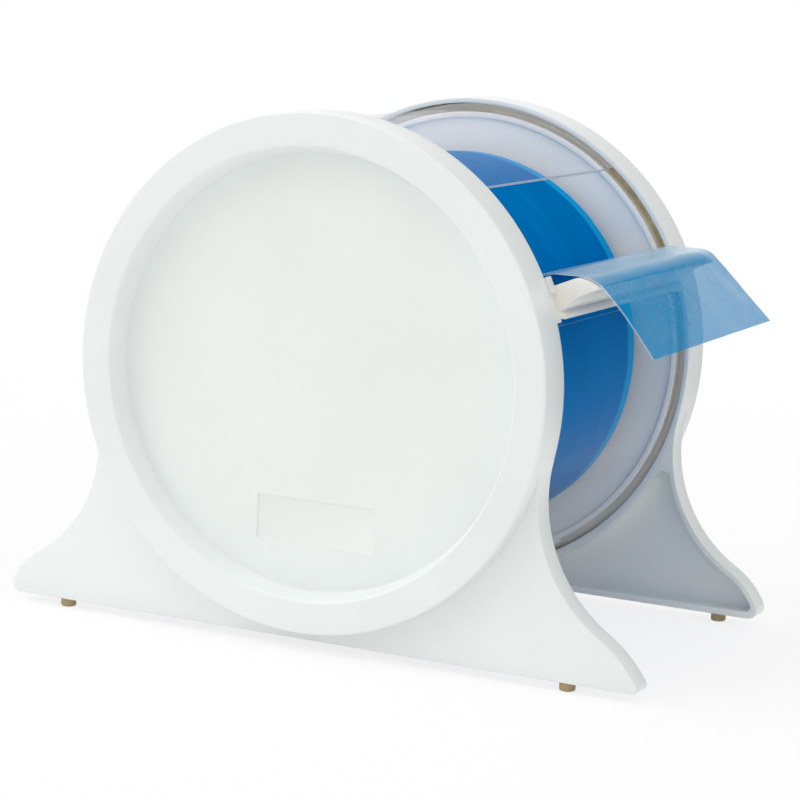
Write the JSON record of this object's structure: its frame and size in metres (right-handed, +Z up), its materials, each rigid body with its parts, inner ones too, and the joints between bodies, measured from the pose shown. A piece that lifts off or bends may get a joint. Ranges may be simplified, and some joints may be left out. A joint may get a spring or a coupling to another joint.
{
  "type": "barrier film dispenser",
  "caption": "Dished round side panels on splayed legs hold a clear drum with a sliding cover; a blue film roll turns inside and its tail hangs over a front bar.",
  "frame": {"origin": "centre of the underside, on the table below the middle of the roll's axis", "axes": "+X along the roll's axis to the right panel, -Y towards the front where the film comes out, +Z up"},
  "size_m": [0.1414, 0.245, 0.1828],
  "materials": {
    "panel": "fine satin moulding",
    "disc": "fine satin moulding",
    "bar": "smooth moulding",
    "cover": "clear polished sheet",
    "film": "wound film with fine ridges",
    "tail": "thin clear tinted film",
    "core": "wound grey card",
    "hub": "plain moulding",
    "spindle": "ground rod",
    "collar": "turned ring",
    "bush": "smooth low-friction moulding",
    "foot": "soft matt rubber",
    "screw": "plated"
  },
  "bodies": {
    "dispenser": {"left_panel": "panel", "right_panel": "panel", "left_inner_disc": "disc", "right_inner_disc": "disc", "lower_cover": "cover", "dispensing_bar": "bar", "left_bush": "bush", "right_bush": "bush", "film_tail": "tail", "left_disc_screw_1": "screw", "left_disc_screw_2": "screw", "left_disc_screw_3": "screw", "right_disc_screw_1": "screw", "right_disc_screw_2": "screw", "right_disc_screw_3": "screw", "left_front_foot": "foot", "left_rear_foot": "foot", "right_front_foot": "foot", "right_rear_foot": "foot"},
    "cover": {"upper_cover": "cover"},
    "roll": {"film_roll": "film", "roll_core": "core", "spindle": "spindle", "left_core_hub": "hub", "right_core_hub": "hub", "left_spindle_collar": "collar", "right_spindle_collar": "collar"}
  },
  "joints": [
    {"name": "roll_spin", "type": "hinge", "parent": "dispenser", "child": "roll", "pos_m": [0, 0, 0.09475], "axis": [1, 0, 0], "continuous": true},
    {"name": "cover_slide", "type": "hinge", "parent": "dispenser", "child": "cover", "pos_m": [0, 0, 0.09475], "axis": [-1, 0, 0], "range_deg": [-22, 100]}
  ]
}
